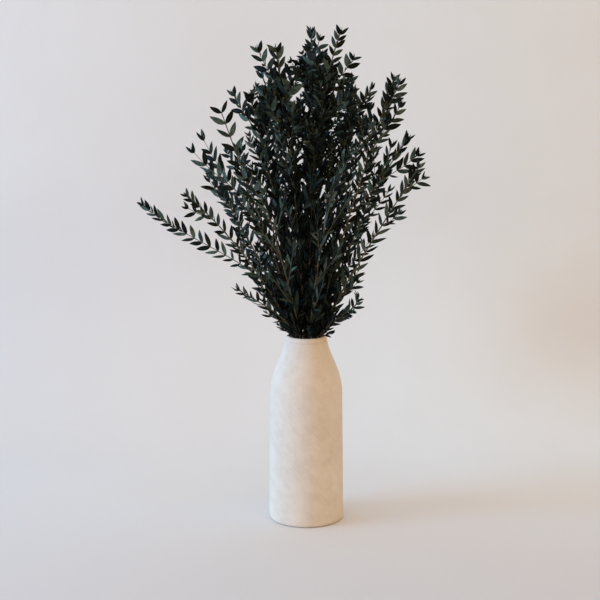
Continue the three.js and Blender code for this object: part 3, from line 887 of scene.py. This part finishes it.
# The small radii of the neck and the floor stay true circles
WANDERS_FROM_RADIUS = 20


def neck_curve(vase):
    """The four corners of the curve from the shoulder to the lip."""
    shoulder = vase.shoulder_radius * M
    low, high = (shoulder, vase.shoulder_height * M), (vase.mouth_radius * M, vase.height * M)
    return [np.array(corner) for corner in (low, (shoulder, SHOULDER_PULL_Z), NECK_PULL, high)]


def vase_outside(vase):
    """The outline from the middle of the underside up to the lip, as (r, z)."""
    top, rise = vase.height * M, vase.shoulder_height * M
    foot, body, shoulder = vase.foot_radius * M, vase.body_radius * M, vase.shoulder_radius * M
    outline = [(0, 0), (foot * 0.5, 0), (foot - UNDERSIDE_MARGIN, 0)]
    for k in range(FOOT_STEPS + 1):
        turn = math.radians(90 * k / FOOT_STEPS)
        outline.append((foot + (body - foot) * math.sin(turn), FOOT_ROUNDING * (1 - math.cos(turn))))
    for k in range(1, WALL_STEPS):
        z = FOOT_ROUNDING + (rise - FOOT_ROUNDING) * k / WALL_STEPS
        outline.append((body + (shoulder - body) * k / WALL_STEPS, z))
    corners = neck_curve(vase)
    for t in np.linspace(0, 1, NECK_STEPS + 1)[:-1]:
        r, z = bend(*corners, t)
        if z < top - LIP_FROM_TOP:
            # A faint groove is drawn round the neck under the lip
            off_groove = (z - (top - GROOVE_BELOW_LIP)) / GROOVE_HALF_WIDTH
            outline.append((r - GROOVE_DEPTH * math.exp(-(off_groove**2)), z))
    return outline


def vase_inside(vase):
    """The outline from under the lip down to the middle of the floor inside, as (r, z)."""
    wall, bore, floor = vase.wall * M, vase.bore_radius * M, vase.floor_height * M
    corners = neck_curve(vase)
    outline = []
    for k in range(NECK_STEPS - 1, -1, -1):
        t = k / NECK_STEPS
        at, on = bend(*corners, t), bend(*corners, t + NECK_WAY_STEP)
        way = unit(on - at)
        outline.append((max(at[0] - way[1] * wall, bore), at[1] + way[0] * wall))
    outline = [(r, z) for r, z in outline if z < vase.height * M - INSIDE_FROM_TOP]
    inner = vase.body_radius * M - wall
    middle = (inner - FLOOR_ROUNDING_MIDDLE, floor + FLOOR_ROUNDING_MIDDLE)
    rounding = [(inner, floor + FLOOR_ROUNDING), middle, (inner - FLOOR_ROUNDING, floor)]
    return outline + rounding + [(inner / 2, floor), (0, floor)]


def vase_lip(vase):
    """The half circle over the lip, from its outside in, as (r, z)."""
    mouth, bore, top = vase.mouth_radius * M, vase.bore_radius * M, vase.height * M
    middle, half = (mouth + bore) / 2, (mouth - bore) / 2
    turns = [math.radians(degrees) for degrees in range(0, 181, LIP_STEP)]
    return [(middle + half * math.cos(turn), top - half + half * math.sin(turn)) for turn in turns]


def turned(profile, segments, wobble):
    """A body of revolution from a profile that starts and ends on the axis."""
    rings = np.array(profile[1:-1], float)
    angles = np.arange(segments) * 2 * math.pi / segments
    r, z = rings[:, 0][:, None], rings[:, 1][:, None]
    r = r + wobble(angles[None], z) * (r > WANDERS_FROM_RADIUS)
    points = np.stack([r * np.cos(angles), r * np.sin(angles), z + 0 * angles], axis=2).reshape(-1, 3)
    vertices = np.concatenate([[[0, 0, profile[0][1]]], points, [[0, 0, profile[-1][1]]]])
    last = len(vertices) - 1
    faces = [*walls(segments, len(rings), 1), *cap(segments, 0, 1, True)]
    faces += cap(segments, last, last - segments, False)
    return vertices, faces


def hand_made(angle, z):
    """How far the wall wanders from a true circle, in millimetres: slow waves, and faint throwing rings."""
    slow = 0.12 * np.sin(2 * angle + z / 60) + 0.08 * np.sin(3 * angle - z / 37 + 1.3)
    rings = 0.05 * np.sin(z / 2.1 + 0.6 * np.sin(angle)) + 0.03 * np.sin(z / 0.93)
    return slow + rings


class EUCALYPTUS_OT_vase(bpy.types.Operator):
    """Turn the bottle vase and give it its clay"""

    bl_idname = "eucalyptus.vase"
    bl_label = "Vase"

    def execute(self, context):
        vase = context.scene.eucalyptus_vase
        profile = vase_outside(vase) + vase_lip(vase) + vase_inside(vase)
        vertices, faces = turned(profile, VASE_SIDES, hand_made)
        piece = add_mesh("bottle_vase", vertices * MM, faces, clay_material(vase))
        stand_in(piece, ["vase"])
        return {"FINISHED"}


def tube(points, ways, radii, sides):
    """A closed round tube along points: its corner points, its faces, and its corner points made straight."""
    points, radii = np.array(points), np.array(radii)
    turns = np.arange(sides) * 2 * math.pi / sides
    frames = [square_to(way) for way in ways]
    side = np.array([f[0] for f in frames])[:, None]
    face = np.array([f[1] for f in frames])[:, None]
    ring = np.cos(turns)[None, :, None] * side + np.sin(turns)[None, :, None] * face
    body = points[:, None] + ring * radii[:, None, None]
    runs = np.concatenate([[0], np.cumsum(np.linalg.norm(np.diff(points, axis=0), axis=1))])
    straight = (np.cos(turns) * radii[:, None], np.sin(turns) * radii[:, None], runs[:, None] + 0 * turns)
    skin = np.stack(straight, axis=2)
    count = len(points)
    vertices = np.concatenate([body.reshape(-1, 3), points[:1], points[-1:] + np.array(ways[-1]) * radii[-1]])
    skin = np.concatenate([skin.reshape(-1, 3), [[0, 0, 0], [0, 0, runs[-1]]]])
    first = count * sides
    faces = [*walls(sides, count), *cap(sides, first, 0, True), *cap(sides, first + 1, first - sides, False)]
    return vertices, faces, skin


# How the wood is drawn

TWIG_STEP = 3.2
FEWEST_STEPS = 6
FOOT_LINE_STEPS = 12
TAPER = 0.8
JOINT_SWELLS = 0.28
JOINT_REACH = 1.1
FORK_THICKENS = 1.3
SHOOT_THINS = 0.6
SHOOT_TIP_THINS = 0.8
STEM_SIDES = 8
SPRIG_SIDES = 6
SHOOT_SIDES = 5
STREAKS_SHIFT = 40.0
STEM_TIP_YOUNG = 0.75
SPRIG_YOUNG = 0.45
SPRIG_TIP_YOUNG = 0.5


def radii_of(twig, bunch):
    """A twig's radius at its root and at its tip."""
    if twig.below:
        return bunch.stem_radius * M, bunch.stem_tip_radius * M
    base, end = bunch.sprig_radius, bunch.sprig_tip_radius
    if twig.is_small:
        base, end = base * SHOOT_THINS, end * SHOOT_TIP_THINS
    elif twig.bare == BARE_FORK:
        base = base * FORK_THICKENS
    return base * M, end * M


def twig_line(twig, number, bunch):
    """Points, ways and radii along a twig, with a small swelling at each leaf joint."""
    joints = np.array([run for run, _, _, _ in pairs_of(twig, number)])
    base, end = radii_of(twig, bunch)
    count = max(FEWEST_STEPS, round(twig.length / TWIG_STEP))
    points, ways, radii = [], [], []
    if twig.below:
        foot, pull, waist = twig.below
        for k in range(FOOT_LINE_STEPS):
            t = k / FOOT_LINE_STEPS
            points.append((1 - t) ** 2 * foot + 2 * t * (1 - t) * pull + t * t * waist)
            ways.append(unit((1 - t) * (pull - foot) + t * (waist - pull)))
            radii.append(base)
    for k in range(count + 1):
        t = k / count
        near = np.abs(joints - t * twig.length).min()
        swelling = 1 + JOINT_SWELLS * math.exp(-((near / JOINT_REACH) ** 2))
        points.append(twig.at(t))
        ways.append(twig.way(t))
        radii.append((base + (end - base) * t**TAPER) * swelling)
    return points, ways, radii


class EUCALYPTUS_OT_twigs(bpy.types.Operator):
    """Draw the stems, forks and sprigs, one piece for each stem"""

    bl_idname = "eucalyptus.twigs"
    bl_label = "Twigs"

    def execute(self, context):
        bunch = context.scene.eucalyptus_bunch
        material = bark_material(bunch)
        for stem, name in enumerate(STEMS):
            vertices, faces, skin, young = [], [], [], []
            for number, twig in dress():
                if twig.stem != stem:
                    continue
                sides = SHOOT_SIDES if twig.is_small else STEM_SIDES if twig.below else SPRIG_SIDES
                own, own_faces, own_skin = tube(*twig_line(twig, number, bunch), sides)
                start = sum(len(v) for v in vertices)
                faces += [tuple(start + i for i in face) for face in own_faces]
                vertices.append(own)
                skin.append(own_skin + STREAKS_SHIFT * number)
                up = own_skin[:, 2] / own_skin[:, 2].max()
                young.append(STEM_TIP_YOUNG * up**2 if twig.below else SPRIG_YOUNG + SPRIG_TIP_YOUNG * up)
            piece = add_mesh(name + "_twigs", np.concatenate(vertices) * MM, faces, material)
            add_values(piece, bark=np.concatenate(skin) * MM, young=np.concatenate(young))
            stand_in(piece, ["stem_" + name])
        return {"FINISHED"}


# How a leaf is drawn

# Corner points of a big leaf and of a small one: shares along it, and the ring round its thin blade as
# (share across, side), where side is 1 on the upper skin, -1 on the lower and 0 on the edge
BIG_STATIONS = (0.0, 0.07, 0.16, 0.28, 0.43, 0.58, 0.73, 0.87)
BIG_RING = ((-1, 0), (-0.5, 1), (0, 1), (0.5, 1), (1, 0), (0.5, -1), (0, -1), (-0.5, -1))
SMALL_STATIONS = (0.0, 0.08, 0.2, 0.37, 0.56, 0.78)
SMALL_RING = ((-1, 0), (0, 1), (1, 0), (0, -1))
BIG_FROM = 16

STALK_HALF_WIDTH = 0.13
STALK_LENGTH = 0.1
TIP_THINS = 0.55
SWAY = 0.03
RIPPLE = 0.05
RIPPLE_WAVES = 9

Leaf = namedtuple("Leaf", "root go up length slimness lowness draw hand")


def leaf_template(stations, ring):
    """Share along, share across and side of each corner point, then the four-sided faces and the others."""
    rows = [(s, q, side) for s in stations for q, side in ring] + [(1.0, 0.0, 0)]
    sides, count = len(ring), len(stations)
    # The ring runs the other way round, so every face is turned over
    quads = [face[::-1] for face in walls(sides, count)]
    tip = [face[::-1] for face in cap(sides, sides * count, sides * (count - 1), False)]
    return np.array(rows, float), np.array(quads), [tuple(range(sides)), *tip]


def leaf_half_width(along, widest):
    """Half width of a leaf as a share of its greatest: a thin stalk, a rounded base, a long pointed tip."""
    base = widest / (1 - widest)
    blade = np.clip(along, 0, 1) ** base * (1 - np.clip(along, 0, 1))
    blade = blade / (widest**base * (1 - widest))
    stalk = np.maximum(STALK_HALF_WIDTH, blade * along / STALK_LENGTH)
    return np.where(along < STALK_LENGTH, stalk, np.maximum(blade, 0.0))


def leaf_pairs(twig, number):
    """Every pair as drawn: (run, length, opening, lowness, roll, draw), with the crosswise and the bud's."""
    rows = pairs_of(twig, number)
    turn = TURN_FROM_PAIR + TURN_GROWS * clamp(1 - abs(twig.at(1)[0]) / SIDE_REACH)
    base = roll_of(twig, number)
    is_broad = twig.leaf > BROAD_LEAF
    is_broad_fork = is_broad and not twig.below
    drawn = []
    for k, (run, long, opening, lowness) in enumerate(rows):
        draw = number * DRAWS_A_TWIG + k
        spire = clamp((twig.joint(run)[0][2] - SPIRE_FROM) / SPIRE_OVER)
        spread = turn * (1 - SPIRE_FLATTENS * spire)
        roll = base * (1 - SPIRE_FACES * spire) + (spread if k % 2 else -spread)
        roll = roll + vary(draw, "pair_roll")
        opening = opening + SPIRE_OPENS * spire
        if is_broad and twig.below:
            # The broad leaves stand flat and open up to the tip, with no young ones at the bud
            opening = max(opening, BROAD_OPENING) + vary(draw, "broad_opening")
            drawn.append((run, long, opening, lowness, base / 2, draw))
            continue
        long = long * (BROAD_FORK_LENGTH if is_broad_fork else 1)
        drawn.append((run, long, opening, lowness, roll, draw))
        if k == len(rows) - 1:
            bud = BROAD_FORK_BUD if is_broad_fork else 1
            for beyond, size, open_by, rolled, ahead in BUD_PAIRS:
                drawn.append((run + beyond, long * size * bud, open_by, lowness, roll + rolled, draw + ahead))
            continue
        middle = (run + rows[k + 1][0]) / 2
        point = twig.joint(middle)[0]
        is_flank = point[2] < FLANK_TOP and from_axis(point) > FLANK_FROM and twig.leaf < BROAD_LEAF
        if is_flank and k / len(rows) < CROSS_ON_FLANKS_FROM:
            continue
        if is_broad_fork and k == len(rows) - 2:
            continue
        across = BROAD_FORK_ROLL if is_broad_fork else CROSS_ROLL
        across = roll + across + vary(draw, "cross_roll")
        size = 1 if is_broad_fork else CROSS_LENGTH * (1 - SPIRE_THINS * spire)
        drawn.append((middle, long * size, opening - CROSS_CLOSES, lowness, across, draw + CROSS_DRAW))
    return drawn


def suited_to_place(twig, root, long, opening, lowness):
    """A pair's length, opening and slimness where its root stands in the bunch."""
    out, height = from_axis(root), root[2]
    core = clamp((CORE_TOP - height) / CORE_FADES_OVER) * clamp((CORE_HALF_WIDTH - abs(root[0])) / CORE_EDGE)
    flank = clamp((out - FLANK_FROM) / FLANK_OVER) * clamp((FLANK_END - out) / FLANK_OVER)
    flank = flank * (height < FLANK_TOP)
    high = clamp((height - HIGH_FROM) / HIGH_OVER)
    opening = opening - CORE_OPENING * core * (1 - lowness)
    if twig.leaf > BROAD_LEAF:
        long = long * (1 - BROAD_SHORTENS * (1 - high) * clamp((BROAD_FROM - out) / FLANK_OVER))
        flank = 0
    slimness = 1 - CORE_NARROWS * core - FLANK_SLIMS * flank + HIGH_WIDENS * high
    long = long * (1 - FLANK_SHORTENS * flank * (twig.below is None))
    return long, opening, slimness


def leaves_of(twig, number):
    """Both leaves of every pair of a twig, less those that would reach through the vase's neck."""
    leaves = []
    for run, long, opening, lowness, roll, draw in leaf_pairs(twig, number):
        root, way = twig.joint(run)
        root = root + way * max(0, run - twig.length)
        across = off_way(way, math.radians(roll))
        upper = np.cross(across, way)
        upper = upper if upper @ np.array([root[0], root[1], UPPER_SIDE_LOOKS_UP]) > 0 else -upper
        long, opening, slimness = suited_to_place(twig, root, long, opening, lowness)
        for hand in (1, -1):
            own = draw * 2 + (hand > 0)
            angle = math.radians(max(opening, LEAST_OPENING) + vary(own, "leaf_opening"))
            go = math.cos(angle) * way + math.sin(angle) * hand * across
            lift = math.radians(vary(own, "leaf_lift") - LEAF_DROOPS)
            go = math.cos(lift) * go + math.sin(lift) * upper
            up = unit(upper - go * (upper @ go))
            twist = math.radians(vary(own, "leaf_twist"))
            up = math.cos(twist) * up + math.sin(twist) * np.cross(go, up)
            if clears_lip(root, root + go * long):
                length = long * (1 + vary(own, "leaf_size"))
                leaves.append(Leaf(root, go, up, length, slimness, lowness, own, hand))
    return leaves


def blades(leaves, template, bunch):
    """The faces of leaves, their corner points, and their values of leaf, under and bloom."""
    rows, quads, rest = template
    along, across, side = rows.T
    half = leaf_half_width(along, bunch.widest_at)
    thick = np.sqrt(np.maximum(1 - across**2, 0)) * (1 - TIP_THINS * along) * side
    root, go, up, long, slim, low, own, hand = (np.array(column)[:, None] for column in zip(*leaves))
    wide = np.cross(up, go)
    fold = bunch.fold * (1 + vary(own, "fold"))
    arch = bunch.arch * (1 + vary(own, "arch"))
    sway = (vary(own, "sway") + SWAY) * hand
    width = long * slim * bunch.leaf_width / 2 * (1 + vary(own, "width"))
    ripple = RIPPLE * width * np.sin(along * RIPPLE_WAVES + own) * np.abs(across)
    x = long * along
    y = width * half * across * np.cos(fold) + sway * long * along**2
    z = width * half * np.abs(across) * np.sin(fold) - arch * long * along**2
    z = z + ripple + bunch.leaf_thickness * M / 2 * thick
    points = root + go * x[..., None] + wide * y[..., None] + up * z[..., None]
    starts = np.arange(len(leaves)) * len(rows)
    faces = (starts[:, None, None] + quads).reshape(-1, 4).tolist()
    for face in rest:
        faces += (starts[:, None] + np.array(face)).tolist()
    spot = np.stack(np.broadcast_arrays(across, along, vary(own, "tone")), axis=2)
    under = np.broadcast_to((1 - side) / 2, x.shape)
    bloom = np.broadcast_to(low, x.shape)
    return faces, points.reshape(-1, 3), spot.reshape(-1, 3), under.ravel(), bloom.ravel()


class EUCALYPTUS_OT_leaves(bpy.types.Operator):
    """Set the leaves on their twigs, one piece for each stem"""

    bl_idname = "eucalyptus.leaves"
    bl_label = "Leaves"

    def execute(self, context):
        bunch = context.scene.eucalyptus_bunch
        material = leaf_material(bunch)
        big, small = leaf_template(BIG_STATIONS, BIG_RING), leaf_template(SMALL_STATIONS, SMALL_RING)
        for stem, name in enumerate(STEMS):
            leaves = []
            for number, twig in dress():
                if twig.stem == stem:
                    leaves += leaves_of(twig, number)
            faces, *large = blades([leaf for leaf in leaves if leaf.length >= BIG_FROM], big, bunch)
            others, *little = blades([leaf for leaf in leaves if leaf.length < BIG_FROM], small, bunch)
            start = len(large[0])
            faces += [tuple(start + i for i in face) for face in others]
            points, spot, under, bloom = (np.concatenate(both) for both in zip(large, little))
            piece = add_mesh(name + "_leaves", points * MM, faces, material)
            add_values(piece, leaf=spot, under=under, bloom=bloom)
            stand_in(piece, ["stem_" + name])
        return {"FINISHED"}


# Stage

PAPER_FRONT = -4.0
PAPER_HALF_WIDTH = 3.0
PAPER_TOP = 3.2
PAPER_BEND_RADIUS = 0.35
PAPER_BEND_STEPS = 16
PAPER_SINKS = 0.0002
WINDOW = {"place": (-2.6, -0.7, 0.9), "aim": (0, 0, 0.3), "size": (1.4, 1.4)}
CEILING = {"place": (0, -0.3, 2.2), "aim": (0, 0.1, 0), "size": (2.4, 2.0)}
CAMERA_PLACE = (-0.0085, -1.773, 0.610)
CAMERA_TILT = 80
CAMERA_LENS = 81.9
CAMERA_SENSOR = 36


def add_light(name, place, aim, size, power, tone):
    light = bpy.data.lights.new(name, "AREA")
    light.shape = "RECTANGLE"
    light.size, light.size_y = size
    light.energy = power
    light.color = tone
    lamp = add_object(name, light)
    lamp.location = place
    way = Vector(aim) - Vector(place)
    lamp.rotation_euler = way.to_track_quat("-Z", "Y").to_euler()


def room_world(stage):
    """The room's warm light from all round, which looks like pale plaster where it is seen directly."""
    graph = Graph(bpy.data.worlds.new("room"))
    seen = graph.add("ShaderNodeLightPath", {}, {}, "Is Camera Ray")
    warm = tuple(stage.room_strength * c for c in stage.room_colour)
    tone = graph.mix(seen, warm, stage.room_plaster)
    sky = graph.add("ShaderNodeBackground", {}, {"Color": tone, "Strength": 1.0})
    graph.add("ShaderNodeOutputWorld", {}, {"Surface": sky})
    return graph.owner


def sweep_line(bend_from):
    """The paper's edge as (y, z): along the floor, round the bend and up the backdrop."""
    line = [(PAPER_FRONT, 0.0), (bend_from, 0.0)]
    for k in range(1, PAPER_BEND_STEPS + 1):
        turn = math.radians(90 * k / PAPER_BEND_STEPS)
        y = bend_from + PAPER_BEND_RADIUS * math.sin(turn)
        line.append((y, PAPER_BEND_RADIUS * (1 - math.cos(turn))))
    line.append((line[-1][0], PAPER_TOP))
    return line


class EUCALYPTUS_OT_stage(bpy.types.Operator):
    """Lay the floor and backdrop, and set the lights and the camera"""

    bl_idname = "eucalyptus.stage"
    bl_label = "Stage"

    def execute(self, context):
        stage = context.scene.eucalyptus_stage
        line = sweep_line(stage.paper_bend - PAPER_BEND_RADIUS * 0.5)
        edges = (-PAPER_HALF_WIDTH, PAPER_HALF_WIDTH)
        vertices = [(x, y, z - PAPER_SINKS) for y, z in line for x in edges]
        faces = [(2 * k, 2 * k + 1, 2 * k + 3, 2 * k + 2) for k in range(len(line) - 1)]
        paper = add_mesh("paper_sweep", vertices, faces, paper_material(stage))

        context.scene.world = room_world(stage)
        add_light("window", **WINDOW, power=stage.window_power, tone=stage.window_colour)
        add_light("ceiling", **CEILING, power=stage.ceiling_power, tone=stage.ceiling_colour)

        camera = add_object("camera", bpy.data.cameras.new("camera"))
        camera.location = CAMERA_PLACE
        camera.rotation_euler = (math.radians(CAMERA_TILT), 0, 0)
        camera.data.lens = CAMERA_LENS
        camera.data.sensor_width = CAMERA_SENSOR
        context.scene.camera = camera
        context.scene.view_settings.view_transform = "Standard"
        return {"FINISHED"}


class EUCALYPTUS_PT_panel(bpy.types.Panel):
    """The steps that dress the vase of eucalyptus"""

    bl_idname = "EUCALYPTUS_PT_panel"
    bl_label = "Eucalyptus Vase"
    bl_space_type = "VIEW_3D"
    bl_region_type = "UI"
    bl_category = "Eucalyptus Vase"

    def draw(self, context):
        for operator in OPERATORS:
            self.layout.operator(operator.bl_idname)
        for settings, kind in SETTINGS.items():
            box = self.layout.box()
            for name in kind.__annotations__:
                box.prop(getattr(context.scene, settings), name)


OPERATORS = (EUCALYPTUS_OT_vase, EUCALYPTUS_OT_twigs, EUCALYPTUS_OT_leaves, EUCALYPTUS_OT_stage)
SETTINGS = {
    "eucalyptus_vase": VaseSettings,
    "eucalyptus_bunch": BunchSettings,
    "eucalyptus_stage": StageSettings,
}
CLASSES = (*SETTINGS.values(), *OPERATORS, EUCALYPTUS_PT_panel)


def register():
    for each in CLASSES:
        bpy.utils.register_class(each)
    for settings, kind in SETTINGS.items():
        setattr(bpy.types.Scene, settings, bpy.props.PointerProperty(type=kind))


def unregister():
    for settings in SETTINGS:
        delattr(bpy.types.Scene, settings)
    for each in reversed(CLASSES):
        bpy.utils.unregister_class(each)


def main():
    register()
    bpy.ops.eucalyptus.vase()
    bpy.ops.eucalyptus.twigs()
    bpy.ops.eucalyptus.leaves()
    bpy.ops.eucalyptus.stage()


if __name__ == "__main__":
    main()
